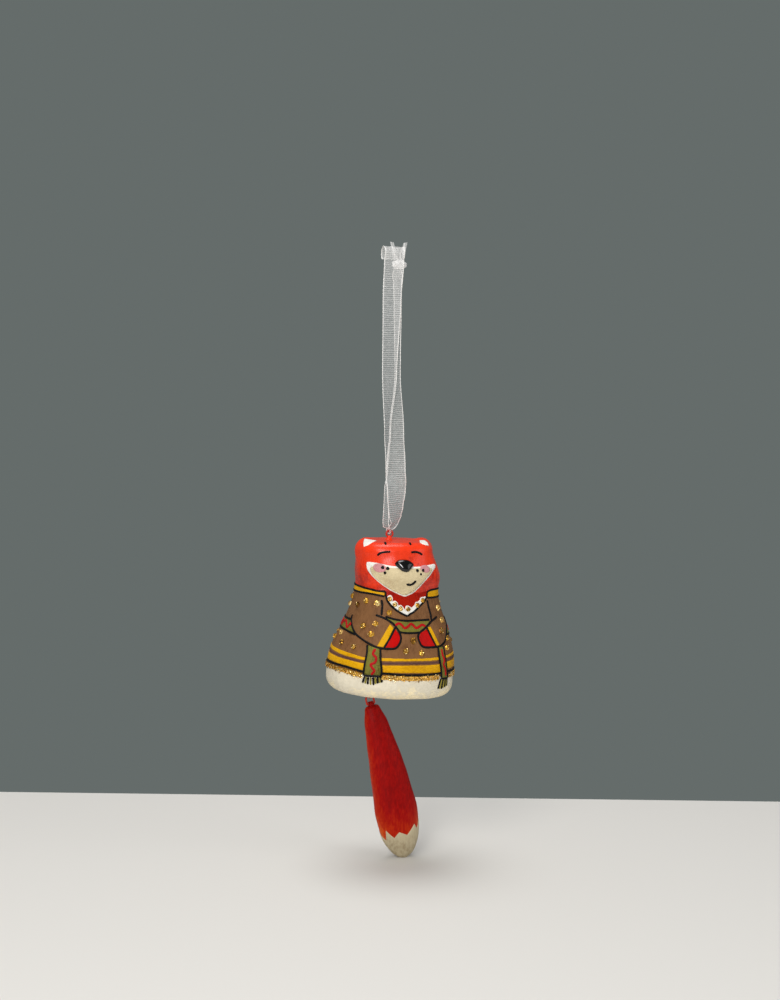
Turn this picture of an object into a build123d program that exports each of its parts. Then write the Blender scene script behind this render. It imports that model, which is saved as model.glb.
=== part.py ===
from build123d import *
import math
import os

# Hanging fox ornament in millimetres, +Z up, the fox facing -Y.
# The origin is the centre of the ribbon wrap that the ornament hangs from.

# Ribbon
loop_radius = 3.3
loop_wrap = 284.0
ribbon_width = 10.0
ribbon_thickness = 0.4
loop_to_eye = 139.0
strand_gap = 0.3
gather_share = 0.975
gather_width = 8.5
gather_thickness = 0.55
gather_draw = 0.85
gather_turn = 12.0
strand_steps = 4

# Knot and the two cut ends
knot_width = 5.4
knot_height = 4.4
knot_side = 4.2
knot_angle = 32.0
knot_clearance = 0.1
throat_side = 3.2
throat_drop = 0.9
throat_turn = -30.0
throat_width = 3.2
ends_length = 10.5
ends_width = 3.2
ends_splay = 13.0
ends_cut = 30.0
ends_trim = 2.0
ends_layers = (0.4, 1.6)

# Wire eyes
wire_radius = 0.5
eye_inner_radius = 1.1
eye_side = -5.8
eye_above_crown = 3.5
shank_length = 20.0
shank_foot = 7.0
shank_bend = 2.0
cone_radius = 2.8
cone_height = 1.4
base_cone_height = 0.5
cone_wall = 0.4

# Gathered bight of ribbon in the top eye
bundle_radius = 0.55
bundle_side = 1.0
soft_clearance = 0.2
leg_rise = 1.2

# Figure, heights from the middle of its base
neck_height = 54.0
neck_width = 40.4
neck_depth = 35.0
cheek_rise = 6.0
cheek_width = 42.0
cheek_depth = 36.5
head_height = 22.5
crown_edge = 4.6
crown_dome = 0.3
temple_width = 37.3
temple_depth = 35.5
hem_height = 13.0
hem_width = 64.0
hem_depth = 56.0
base_edge = 6.5
base_dome = 2.0
dome_share = 0.6
head_squareness = 2.8
skirt_squareness = 2.2
head_turn = -6.0
coat_turn = 6.0
turn_length = 12.0
belly_shift = 1.0
crown_shift = -3.85
crown_slope = 0.07
bend_rise = 3.0
bend_length = 22.0
snout_reach = 4.0
snout_rise = 7.5
snout_spread = 9.0
lean = 3.9
wall = 3.0
core_gap = 0.15
outline_points = 24
flare_steps = 6
end_steps = 4

# Ears and nose
ear_spacing = 27.4
ear_radius = 5.7
ear_half_height = 6.6
ear_rise = 1.3
nose_width = 12.6
nose_tall = 7.4
nose_rise = 6.2
nose_proud = 2.0
nose_corner = 1.6
nose_round = 1.3

# Raised gold glitter
drop_radius = 1.5
drop_sunk = 0.5
drop_seat = 0.1
collar_drop_radius = 1.15
collar_middle = -5.0
collar_drop_turn = 17.5
collar_tip_drop = 10.2
collar_side_drop = 5.1
collar_curve = 1.3
glitter_height = 12.0
glitter_width = 2.4
glitter_proud = 0.6
glitter_edge = 0.25
glitter_seat = 0.1

# Tail and its wire link
base_eye_side = -6.0
base_eye_back = 12.5
base_eye_drop = 2.4
link_width = 4.0
link_height = 4.8
link_bend = 0.7
link_slack = 0.15
link_seam = 0.1
pin_clearance = 0.05
tongue_clearance = 0.3
tongue_cap = 1.5
tail_length = 85.5
tail_width = 22.6
tail_depth = 15.0
tail_bow = 0.9
tail_bow_share = 0.9
tail_lean = -13.6
tail_top_round = 1.6
tail_tip_round = 2.0

# Drops on the front of the coat: turn in degrees from the front towards +X, and drop below the neck
front_drops = [
    (-108, 7.2), (-108, 11.0), (-84, 10.1), (-66, 7.2), (-42.5, 7.7), (-23, 11.7), (-59, 19.3),
    (-41, 17.5), (-44, 22.6), (-93, 25.0), (-107, 28.0), (-83, 29.0), (-61.5, 29.6), (0, 24.5),
    (-5.5, 29.5), (6.5, 30.2), (43, 9.1), (45, 14.9), (35, 20.1), (45.5, 23.8), (41.5, 28.4),
]
# Drops on the back of the coat, in staggered rows: drop below the neck, first turn and last turn
back_rows = [(7.5, 82, 230), (13.0, 98, 214), (26.5, 80, 232)]
back_shares = (0.0, 0.25, 0.5, 0.75, 1.0)

# Strand stations: share of the way down, sideways, towards the back, and facing in degrees
front_strand = [
    (0.15, -0.9, -2.4, 11), (0.42, -1.7, -2.3, 30), (0.64, -2.4, -2.4, 56),
    (0.78, -2.7, -2.9, 69), (0.86, -3.0, -3.2, 84),
]
back_strand = [
    (0.06, 3.9, 4.8, -82), (0.15, 4.1, 4.5, -86), (0.42, 4.3, 4.0, -91), (0.64, 4.0, 3.4, -61),
    (0.78, 3.8, 3.3, -36), (0.86, 4.0, 2.6, 8),
]

# Drops on the collar: shares of the way from its point to each side
collar_shares = (-1.0, -0.6, -0.2, 0.2, 0.6, 1.0)

# Small steps that the surface's direction is taken over
turn_step = 1.0
height_step = 0.5

# Tail stations: share of the length from the tongue's top, and share of the width
tail_stations = [
    (0.0, 0.30), (0.055, 0.37), (0.13, 0.53), (0.29, 0.69), (0.45, 0.845), (0.61, 0.94), (0.70, 1.0),
    (0.80, 0.935), (0.86, 0.85), (0.91, 0.71), (0.96, 0.47), (0.985, 0.26),
]

# Places worked out from the sizes above
cheek_height = neck_height + cheek_rise
crown_height = neck_height + head_height
ring_radius = eye_inner_radius + wire_radius
bight_bend = bundle_radius + soft_clearance + wire_radius
eye_point = Vector(0, 0, -loop_to_eye)
eye_local = Vector(eye_side, 0, crown_height + eye_above_crown)
figure_pose = Pos(eye_point) * Rot(0, lean, 0) * Pos(-eye_local)
top_ring_local = eye_local + Vector(0, 0, bight_bend - ring_radius)
base_ring_local = Vector(base_eye_side, base_eye_back, -base_dome - base_eye_drop)
sway_local = base_ring_local - Vector(0, 0, ring_radius)
sway_point = (figure_pose * Pos(sway_local)).position
tail_pose = Pos(sway_point) * Rot(0, tail_lean, 0)
link_top = 2 * wire_radius + link_slack
bar_level = link_top - link_height
tongue_top = bar_level + tongue_cap
shoulder_level = bar_level - wire_radius - tongue_clearance
wrap_radius = loop_radius + ribbon_thickness
wrap_end = math.radians((360 - loop_wrap) / 2)
knot_reach = wrap_radius + knot_clearance + knot_height / 2
knot_back = knot_reach * math.sin(math.radians(knot_angle))
knot_level = -knot_reach * math.cos(math.radians(knot_angle))


def smooth(share):
    share = min(max(share, 0.0), 1.0)
    return share * share * (3 - 2 * share)


def blend(low, high, share):
    return low + (high - low) * share


def figure_size(height):
    """Half width, half depth and squareness of the figure at a height."""
    flare = smooth((neck_height - height) / (neck_height - hem_height))
    fill = smooth((height - neck_height) / (cheek_height - neck_height))
    taper = smooth((height - cheek_height) / (crown_height - crown_edge - cheek_height))
    width = blend(blend(blend(neck_width, hem_width, flare), cheek_width, fill), temple_width, taper)
    depth = blend(blend(blend(neck_depth, hem_depth, flare), cheek_depth, fill), temple_depth, taper)
    squareness = blend(head_squareness, skirt_squareness, flare)
    return width / 2, depth / 2, squareness


def facing_at(height):
    """The head and the coat face slightly apart, with the change spread over the neck."""
    return blend(coat_turn, head_turn, smooth((height - neck_height + turn_length / 2) / turn_length))


def bend_at(height):
    """How far the head has bent over at a height, from none to all."""
    return smooth((height - neck_height - bend_rise) / bend_length)


def shift_at(height):
    """Sideways set of the figure's middle: out at the belly, back over at the crown."""
    flare = smooth((neck_height - height) / (neck_height - hem_height))
    return 4 * belly_shift * flare * (1 - flare) + crown_shift * bend_at(height)


def figure_point(height, turn, inset=0.0):
    """Point on the figure at a height, turned from its front towards +X."""
    half_width, half_depth, squareness = figure_size(height)
    side = math.sin(math.radians(turn))
    front = math.cos(math.radians(turn))
    power = 2 / squareness
    x = (half_width - inset) * math.copysign(abs(side) ** power, side)
    y = -(half_depth - inset) * math.copysign(abs(front) ** power, front)
    if front > 0:
        rise = math.exp(-(((height - cheek_height) / snout_rise) ** 2))
        y -= snout_reach * rise * math.exp(-((x / snout_spread) ** 2)) * front
    point = Vector(x, y, height).rotate(Axis.Z, facing_at(height))
    return point + Vector(shift_at(height), 0, crown_slope * bend_at(height) * point.X)


def figure_plane(height, turn):
    """Plane that touches the figure at a point, facing outwards."""
    across = figure_point(height, turn + turn_step) - figure_point(height, turn - turn_step)
    upwards = figure_point(height + height_step, turn) - figure_point(height - height_step, turn)
    return Plane(figure_point(height, turn), z_dir=across.cross(upwards))


def figure_section(height, level, inset):
    """Closed face with the figure's outline at a height, drawn at a level of its own."""
    points = [figure_point(height, 360 * step / outline_points, inset) for step in range(outline_points)]
    ring = Spline(*[p + Vector(0, 0, level - height) for p in points], periodic=True)
    return Face(Wire([ring]))


def end_rows(edge, dome, cap):
    """Rows that close an end: rise above where the edge starts to round, and how far it is drawn in."""
    rows = []
    for step in range(1, end_steps + 1):
        angle = math.radians(90 * step / end_steps)
        rows.append((edge * math.sin(angle), edge * (1 - math.cos(angle))))
    for step in range(1, end_steps + 1):
        share = step / end_steps
        rows.append((edge + dome * (1 - (1 - share) ** 2), blend(edge, cap, share)))
    return rows


def figure_body(inset):
    """Rounded body of the figure as one loft, drawn in evenly by the inset."""
    top = crown_height - crown_edge
    heights = [base_edge]
    heights += [blend(hem_height, neck_height, step / flare_steps) for step in range(flare_steps + 1)]
    heights += [blend(neck_height, cheek_height, 0.5), cheek_height, blend(cheek_height, top, 0.5), top]
    base_cap = base_edge + dome_share * hem_depth / 2 - inset
    crown_cap = crown_edge + dome_share * temple_depth / 2 - inset
    base_rows = end_rows(base_edge, base_dome, base_cap)
    crown_rows = end_rows(crown_edge, crown_dome, crown_cap)
    rows = [(base_edge - rise, drawn_in, base_edge) for rise, drawn_in in reversed(base_rows)]
    rows += [(height, 0.0, height) for height in heights]
    rows += [(top + rise, drawn_in, top) for rise, drawn_in in crown_rows]
    span = crown_height - 2 * inset
    sections = []
    for level, drawn_in, height in rows:
        sections.append(figure_section(height, inset + span * level / crown_height, inset + drawn_in))
    return loft(sections)


def make_outside():
    """Solid outside of the figure: body, low round ears, and a pulp cone round each wire."""
    right_half = Pos(ear_radius) * Rectangle(2 * ear_radius, 4 * ear_half_height)
    ear = revolve(Plane.XZ * (Ellipse(ear_radius, ear_half_height) & right_half), Axis.Z)
    whole = figure_body(0.0)
    top = crown_height - crown_edge
    for side in (-1, 1):
        place = Vector(side * ear_spacing / 2, 0, 0).rotate(Axis.Z, head_turn)
        level = crown_height + ear_rise - ear_half_height + crown_slope * bend_at(top) * place.X
        whole += Pos(place.X + shift_at(top), place.Y, level) * ear
    tip = wire_radius + cone_wall
    top_height = crown_dome + cone_height
    base_height = base_dome + base_cone_height
    whole += Pos(eye_local.X, eye_local.Y, crown_height + top_height / 2) * Cone(cone_radius, tip, top_height)
    whole += Pos(base_eye_side, base_eye_back, -base_height / 2) * Cone(tip, cone_radius, base_height)
    return whole


def make_wire_eye(ring_turn):
    """Wire eye round the origin, with a shank rising from its ring to a bent foot."""
    start = (0, 0, ring_radius)
    knee = (0, 0, ring_radius + shank_length)
    toe = (shank_foot, 0, ring_radius + shank_length)
    path = FilletPolyline(start, knee, toe, radius=shank_bend)
    shank = sweep(Plane(start, z_dir=(0, 0, 1)) * Circle(wire_radius), path=path)
    return ring_turn * Torus(ring_radius, wire_radius) + shank


def make_nose(outside):
    """Rounded three-cornered nose seated on the snout."""
    half = nose_width / 2
    corners = [(-half, nose_tall / 2), (half, nose_tall / 2), (0, -nose_tall / 2)]
    profile = make_face(FilletPolyline(*corners, radius=nose_corner, close=True))
    nose_height = cheek_height + nose_rise
    seat = figure_point(nose_height, 0) - Vector(shift_at(nose_height), 0, 0)
    front = seat.rotate(Axis.Z, -head_turn).Y
    block = extrude(Plane.XZ * profile, wall + nose_proud)
    block = fillet(block.faces().sort_by(Axis.Y)[0].edges(), nose_round)
    block = Rot(0, 0, head_turn) * Pos(0, front + wall, nose_height) * block
    return Pos(shift_at(nose_height)) * block - outside


def make_drops(places, radius):
    """Domed drops of glitter, each seated flat on the figure's surface."""
    below = Pos(0, 0, drop_seat - radius) * Box(4 * radius, 4 * radius, 2 * radius)
    dome = Pos(0, 0, -drop_sunk) * Sphere(radius) - below
    return [figure_plane(height, turn).location * dome for turn, height in places]


def coat_places():
    places = list(front_drops)
    for drop, first, last in back_rows:
        places += [(blend(first, last, share), drop) for share in back_shares]
    return [(turn, neck_height - drop) for turn, drop in places]


def collar_places():
    places = []
    for share in collar_shares:
        drop = blend(collar_tip_drop, collar_side_drop, abs(share) ** collar_curve)
        places.append((collar_middle + collar_drop_turn * share, neck_height - drop))
    return places


def make_glitter_band():
    """Low rounded band round the hem."""
    low = glitter_height - glitter_width / 2
    high = glitter_height + glitter_width / 2
    outer = [(low, glitter_edge), (glitter_height, glitter_proud), (high, glitter_edge)]
    inner = [low - glitter_width, glitter_height, high + glitter_width]
    band = loft([figure_section(height, height, -proud) for height, proud in outer])
    return band - loft([figure_section(height, height, -glitter_seat) for height in inner])


def make_loop():
    """Ribbon wrapped round its peg, open below where the strands leave it."""
    reach = 2 * wrap_radius
    gap = Polyline(
        (0, 0),
        (-reach * math.tan(wrap_end), -reach),
        (reach * math.tan(wrap_end), -reach),
        close=True,
    )
    band = Circle(wrap_radius) - Circle(loop_radius) - make_face(gap)
    return extrude(Plane.YZ * band, ribbon_width / 2, both=True)


def strand_section(level, x, y, facing, width, thickness):
    return Pos(x, y, level) * Rot(0, 0, facing) * Rectangle(width, thickness)


def make_strand(stations, top, foot_side):
    """One hanging strand: twisted ribbon from its top section down to the gathered foot."""
    x, y, start, facing, width = top
    foot = -loop_to_eye + bight_bend + leg_rise + strand_gap
    rows = [(start, x, y, facing, width, ribbon_thickness)]
    for share, x, y, facing in stations:
        rows.append((blend(start, foot, share), x, y, facing, ribbon_width, ribbon_thickness))
    facing += gather_turn
    near = blend(start, foot, gather_share)
    rows.append((near, gather_draw * x, gather_draw * y, facing, gather_width, gather_thickness))
    rows.append((foot, 0, foot_side * bight_bend, facing, bundle_side, bundle_side))
    sections = []
    for above, below in zip(rows, rows[1:]):
        for step in range(strand_steps):
            share = step / strand_steps
            level = blend(above[0], below[0], share)
            place = [blend(a, b, smooth(share)) for a, b in zip(above[1:], below[1:])]
            sections.append(strand_section(level, *place))
    sections.append(strand_section(*rows[-1]))
    return loft(sections, ruled=True)


def make_bight():
    """Ribbon gathered to a round bundle and passed under the top of the eye."""
    bend = bight_bend
    rise = bend + leg_rise
    path = (
        Line((0, -bend, rise), (0, -bend, bend))
        + ThreePointArc((0, -bend, bend), (0, 0, 0), (0, bend, bend))
        + Line((0, bend, bend), (0, bend, rise))
    )
    bundle = sweep(Plane((0, -bend, rise), z_dir=(0, 0, -1)) * Circle(bundle_radius), path=path)
    return Pos(eye_point) * bundle


def make_ends():
    """Two cut ends standing up behind the wrap."""
    start = knot_level + knot_height / 2
    ends = []
    for side, layer in zip((-1, 1), ends_layers):
        outline = Plane.XZ * Pos(0, ends_length / 2) * Rectangle(ends_width, ends_length)
        strip = extrude(outline, ribbon_thickness)
        trim = Box(4 * ends_width, 4 * ribbon_thickness, ends_trim)
        strip -= Pos(0, 0, ends_length) * Rot(0, ends_cut * side, 0) * trim
        shift = knot_side + side * ends_width / 2
        ends.append(Pos(shift, wrap_radius + layer, start) * Rot(0, side * ends_splay, 0) * strip)
    return ends


def make_link():
    """Closed wire link through the base eye, its ends butted in the middle of the bar."""
    half = link_width / 2
    bend = half - link_bend
    slant = link_bend * (1 - math.sqrt(0.5))
    seam = link_seam / 2
    path = (
        Line((seam, 0, bar_level), (bend, 0, bar_level))
        + ThreePointArc(
            (bend, 0, bar_level), (half - slant, 0, bar_level + slant), (half, 0, bar_level + link_bend)
        )
        + Line((half, 0, bar_level + link_bend), (half, 0, link_top - half))
        + ThreePointArc((half, 0, link_top - half), (0, 0, link_top), (-half, 0, link_top - half))
        + Line((-half, 0, link_top - half), (-half, 0, bar_level + link_bend))
        + ThreePointArc(
            (-half, 0, bar_level + link_bend), (slant - half, 0, bar_level + slant), (-bend, 0, bar_level)
        )
        + Line((-bend, 0, bar_level), (-seam, 0, bar_level))
    )
    return sweep(Plane((seam, 0, bar_level), z_dir=(1, 0, 0)) * Circle(wire_radius), path=path)


def make_tail():
    """Tail: a bowed loft under a narrow tongue that the link's bar passes through."""
    sections = []
    for share, spread in tail_stations:
        drop = share * tail_length
        level = shoulder_level - max(drop - (tongue_top - shoulder_level), 0.0)
        bow = tail_bow * math.sin(math.pi * share / tail_bow_share)
        sections.append(Pos(bow, 0, level) * Ellipse(spread * tail_width / 2, spread * tail_depth / 2))
    body = loft(sections)
    ends = body.faces().sort_by(Axis.Z)
    body = fillet(ends[-1].edges(), tail_top_round)
    body = fillet(body.faces().sort_by(Axis.Z)[0].edges(), tail_tip_round)
    tongue_width = link_width - 2 * wire_radius - 2 * tongue_clearance
    tongue_foot = shoulder_level - tongue_cap
    tall = bar_level - tongue_foot
    tongue = Pos(0, 0, tongue_foot + tall / 2) * Box(tongue_width, 2 * tongue_cap, tall)
    cap = Pos(0, 0, bar_level) * Rot(0, 90, 0) * Cylinder(tongue_cap, tongue_width)
    hole = Pos(0, 0, bar_level) * Rot(0, 90, 0) * Cylinder(wire_radius + pin_clearance, link_width)
    return body + tongue + cap - hole


def largest(shape):
    """The main solid of a cut, without the crumbs that the cut leaves."""
    return max(shape.solids(), key=lambda solid: solid.volume)


def build():
    outside = make_outside()
    top_eye = Pos(top_ring_local) * Rot(180, 0, 0) * make_wire_eye(Rot(90, 0, 0))
    base_eye = Pos(base_ring_local) * make_wire_eye(Rot(0, 90, 0))
    wires = top_eye + base_eye
    shell = largest(outside - figure_body(wall) - wires)
    core = largest(figure_body(wall + core_gap) - wires)
    front_top = (0, -wrap_radius * math.sin(wrap_end), -wrap_radius * math.cos(wrap_end), 0, ribbon_width)
    back_top = (throat_side, knot_back, knot_level - throat_drop, throat_turn, throat_width)
    front = make_strand(front_strand, front_top, -1)
    back = make_strand(back_strand, back_top, 1)
    knot = scale(Sphere(1), by=(knot_width / 2, knot_height / 2, knot_height / 2))
    knot = Pos(knot_side, knot_back, knot_level) * knot - back
    figure = {
        "figure_shell": [shell],
        "figure_core": [core],
        "top_eye": [top_eye],
        "base_eye": [base_eye],
        "nose": [make_nose(outside)],
        "coat_drops": make_drops(coat_places(), drop_radius),
        "collar_drops": make_drops(collar_places(), collar_drop_radius),
        "hem_glitter": [make_glitter_band()],
    }
    nodes = {
        "ribbon_loop": [make_loop()],
        "ribbon_front_strand": [front],
        "ribbon_back_strand": [back],
        "ribbon_knot": [knot],
        "ribbon_ends": [end - knot for end in make_ends()],
        "ribbon_bight": [make_bight()],
        "tail_link": [tail_pose * make_link()],
        "tail": [tail_pose * make_tail()],
    }
    for name, solids in figure.items():
        nodes[name] = [figure_pose * solid for solid in solids]
    return nodes


os.makedirs("parts", exist_ok=True)
for name, shapes in build().items():
    solids = [solid for shape in shapes for solid in shape.solids()]
    export_step(Compound(solids), f"parts/{name}.step")
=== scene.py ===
import bpy
import random
from math import copysign, cos, exp, hypot, pi, radians, sin, sqrt
from mathutils import Matrix, Vector
from mathutils.geometry import delaunay_2d_cdt
from mathutils.noise import noise


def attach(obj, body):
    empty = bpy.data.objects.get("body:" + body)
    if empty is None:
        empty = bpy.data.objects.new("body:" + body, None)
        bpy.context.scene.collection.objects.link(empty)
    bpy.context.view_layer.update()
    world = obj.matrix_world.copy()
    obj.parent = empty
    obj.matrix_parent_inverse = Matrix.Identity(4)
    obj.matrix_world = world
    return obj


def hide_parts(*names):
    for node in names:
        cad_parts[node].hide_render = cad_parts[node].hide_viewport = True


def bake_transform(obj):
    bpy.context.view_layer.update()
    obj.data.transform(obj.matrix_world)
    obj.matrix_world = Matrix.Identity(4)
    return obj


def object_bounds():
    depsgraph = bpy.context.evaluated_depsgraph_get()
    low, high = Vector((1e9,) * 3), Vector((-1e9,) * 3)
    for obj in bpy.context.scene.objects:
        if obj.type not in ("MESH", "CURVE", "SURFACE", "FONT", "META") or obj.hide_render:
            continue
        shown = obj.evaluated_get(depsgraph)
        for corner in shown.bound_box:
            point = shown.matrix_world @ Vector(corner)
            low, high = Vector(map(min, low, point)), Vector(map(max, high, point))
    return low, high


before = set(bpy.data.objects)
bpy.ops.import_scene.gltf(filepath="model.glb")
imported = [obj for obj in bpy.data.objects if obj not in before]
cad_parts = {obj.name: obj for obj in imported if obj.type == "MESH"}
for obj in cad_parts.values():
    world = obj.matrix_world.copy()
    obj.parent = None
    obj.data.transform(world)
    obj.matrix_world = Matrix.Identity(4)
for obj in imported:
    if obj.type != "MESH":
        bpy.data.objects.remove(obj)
cadLow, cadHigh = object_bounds()
scene = bpy.context.scene
rng = random.Random(7)
fullTurn = 2 * pi
quarter = pi / 2
print("frame loaded")


def addObject(name, data):
    obj = bpy.data.objects.new(name, data)
    scene.collection.objects.link(obj)
    return obj


def cosSin(degrees):
    return cos(radians(degrees)), sin(radians(degrees))


def smooth(s):
    s = min(max(s, 0), 1)
    return s * s * (3 - 2 * s)


def mix(a, b, s):
    return a + (b - a) * s


# camera at the photo's angle: degrees and millimetres
view = {"turn": 16.25, "down": 4.5, "roll": 0.72, "lens": 58.5, "sensor": 36, "away": 812, "aim": -58.5}
turnCos, turnSin = cosSin(view["turn"])
pitchCos, pitchSin = cosSin(view["down"])
rollCos, rollSin = cosSin(view["roll"])
across = Vector((turnCos, -turnSin, 0))
level = Vector((turnSin, turnCos, 0))
looking = level * pitchCos - Vector((0, 0, pitchSin))
upright = level * pitchSin + Vector((0, 0, pitchCos))
camX = across * rollCos + upright * rollSin
camY = upright * rollCos - across * rollSin
camData = bpy.data.cameras.new("camera")
camData.sensor_fit = "VERTICAL"
camData.sensor_height = view["sensor"]
camData.lens = view["lens"]
camData.clip_start = 0.05
camera = addObject("camera", camData)
turned = Matrix((camX, camY, -looking)).transposed().to_4x4()
place = (-level * view["away"] + Vector((0, 0, view["aim"]))) / 1000
camera.matrix_world = Matrix.Translation(place) @ turned
scene.camera = camera


# mesh and light helpers

def addMesh(name, verts, faces, mats, faceMats=None, flat=False):
    mesh = bpy.data.meshes.new(name)
    mesh.from_pydata(verts, [], faces)
    for mat in mats:
        mesh.materials.append(mat)
    if faceMats:
        mesh.polygons.foreach_set("material_index", faceMats)
    mesh.polygons.foreach_set("use_smooth", [not flat] * len(mesh.polygons))
    mesh.validate()
    return addObject(name, mesh)


def gridFaces(rows, wide, closed=True, flip=False, start=0):
    # quads between rows of points, flipped where the outside is on the other hand
    faces = []
    for i in range(rows - 1):
        for k in range(wide if closed else wide - 1):
            a, b = start + i * wide + k, start + i * wide + (k + 1) % wide
            faces.append((a, a + wide, b + wide, b) if flip else (a, b, b + wide, a + wide))
    return faces


def domeFaces(sides, start=0):
    # a fan round the top point and two rings of quads under it
    faces = []
    for k in range(sides):
        a, b = start + 1 + k, start + 1 + (k + 1) % sides
        faces.append((start, a, b))
        for ring in (0, sides):
            faces.append((a + ring, a + ring + sides, b + ring + sides, b + ring))
    return faces


def wheel(side, up, angle):
    return side * cos(angle) + up * sin(angle)


def sideAndUp(out):
    side = out.cross(Vector((0, 0, 1))).normalized()
    return side, side.cross(out)


def addLight(name, place, size, power, colour=(1, 1, 1)):
    aim = Vector((0, 0, -0.17))  # middle of the figure
    data = bpy.data.lights.new(name, "AREA")
    data.shape = "DISK"
    data.size = size
    data.energy = power
    data.color = colour
    lamp = addObject(name, data)
    lamp.location = place
    lamp.rotation_euler = (aim - Vector(place)).to_track_quat("-Z", "Y").to_euler()


# material helpers

def startMaterial(name):
    mat = bpy.data.materials.new(name)
    mat.use_nodes = True
    tree = mat.node_tree
    return mat, tree, tree.nodes["Principled BSDF"]


def feed(node, values):
    # a node with its output is linked, and a number or colour goes in as it is
    for key, value in values.items():
        if isinstance(value, tuple) and isinstance(value[0], bpy.types.Node):
            node.id_data.links.new(value[0].outputs[value[1]], node.inputs[key])
        else:
            node.inputs[key].default_value = value


def addNode(tree, kind, **values):
    node = tree.nodes.new("ShaderNode" + kind)
    for key in [key for key in values if key not in node.inputs]:
        setattr(node, key, values.pop(key))
    feed(node, values)
    return node


def mathNode(tree, operation, *parts):
    node = addNode(tree, "Math", operation=operation)
    feed(node, dict(enumerate(parts)))
    return node


def ramp(tree, source, stops):
    node = addNode(tree, "ValToRGB", Fac=source)
    while len(node.color_ramp.elements) < len(stops):
        node.color_ramp.elements.new(0.5)
    for element, (spot, colour) in zip(node.color_ramp.elements, stops):
        element.position = spot
        element.color = (*colour, 1)
    return node


def shade(colour, factor):
    return tuple(min(c * factor, 1) for c in colour)


def brushPaint(name, colour, dark, stretch, marks, rough, bump, coat=0, gloss=0.08, paintedLightByHeight=None, coatRough=0.3):
    # hand-brushed paint: stretched marks, blotches and a fine ridged bump; a height and strength given for
    # painted light turn it lighter higher up, as painted light from above, and towards the dark tone lower
    # down, as painted shade
    mat, tree, bsdf = startMaterial(name)
    where = addNode(tree, "TexCoord")
    turn = addNode(tree, "Mapping", Vector=(where, "Object"), Scale=stretch, Rotation=(0.35, 0.2, 0.3))
    streak = addNode(tree, "TexNoise", Vector=(turn, 0), Scale=marks, Detail=5, Roughness=0.65)
    blotch = addNode(tree, "TexNoise", Vector=(where, "Object"), Scale=110, Detail=3)
    both = mathNode(tree, "ADD", (streak, "Fac"), (blotch, "Fac"))
    tonedBy = mathNode(tree, "MULTIPLY", (both, 0), 0.5)
    # painted light and shade by height: the tone slides towards the lighter top stop higher up and towards
    # the dark stop lower down
    if paintedLightByHeight:
        height, strength = paintedLightByHeight
        split = addNode(tree, "SeparateXYZ", Vector=(where, "Object"))
        shifted = mathNode(tree, "SUBTRACT", (split, "Z"), height)
        tonedBy = mathNode(tree, "MULTIPLY_ADD", (shifted, 0), strength, (tonedBy, 0))
    tone = ramp(tree, (tonedBy, 0), [(0.36, dark), (0.5, colour), (0.66, shade(colour, 1.14))])
    sheen = ramp(tree, (blotch, "Fac"), [(0.3, (rough - 0.1,) * 3), (0.7, (rough + 0.14,) * 3)])
    ridges = addNode(tree, "Bump", Height=(streak, "Fac"), Strength=bump, Distance=0.00012)
    feed(bsdf, {"Base Color": (tone, 0), "Roughness": (sheen, 0), "Normal": (ridges, 0)})
    feed(bsdf, {"Specular IOR Level": gloss})
    if coat:
        feed(bsdf, {"Coat Weight": coat, "Coat Roughness": coatRough, "Coat Normal": (ridges, 0)})
    return mat


def glitterMaterial(name, bright, deep):
    # each flake takes its own tone
    mat, tree, bsdf = startMaterial(name)
    geo = addNode(tree, "NewGeometry")
    tones = [(0, deep), (0.3, shade(bright, 0.55)), (0.6, bright), (1, (1, 0.82, 0.4))]
    tone = ramp(tree, (geo, "Random Per Island"), tones)
    where = addNode(tree, "TexCoord")
    grain = addNode(tree, "TexNoise", Vector=(where, "Object"), Scale=2600, Detail=2)
    rough = ramp(tree, (grain, "Fac"), [(0.3, (0.18,) * 3), (0.7, (0.4,) * 3)])
    feed(bsdf, {"Base Color": (tone, 0), "Roughness": (rough, 0), "Metallic": 0.75})
    return mat


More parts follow.
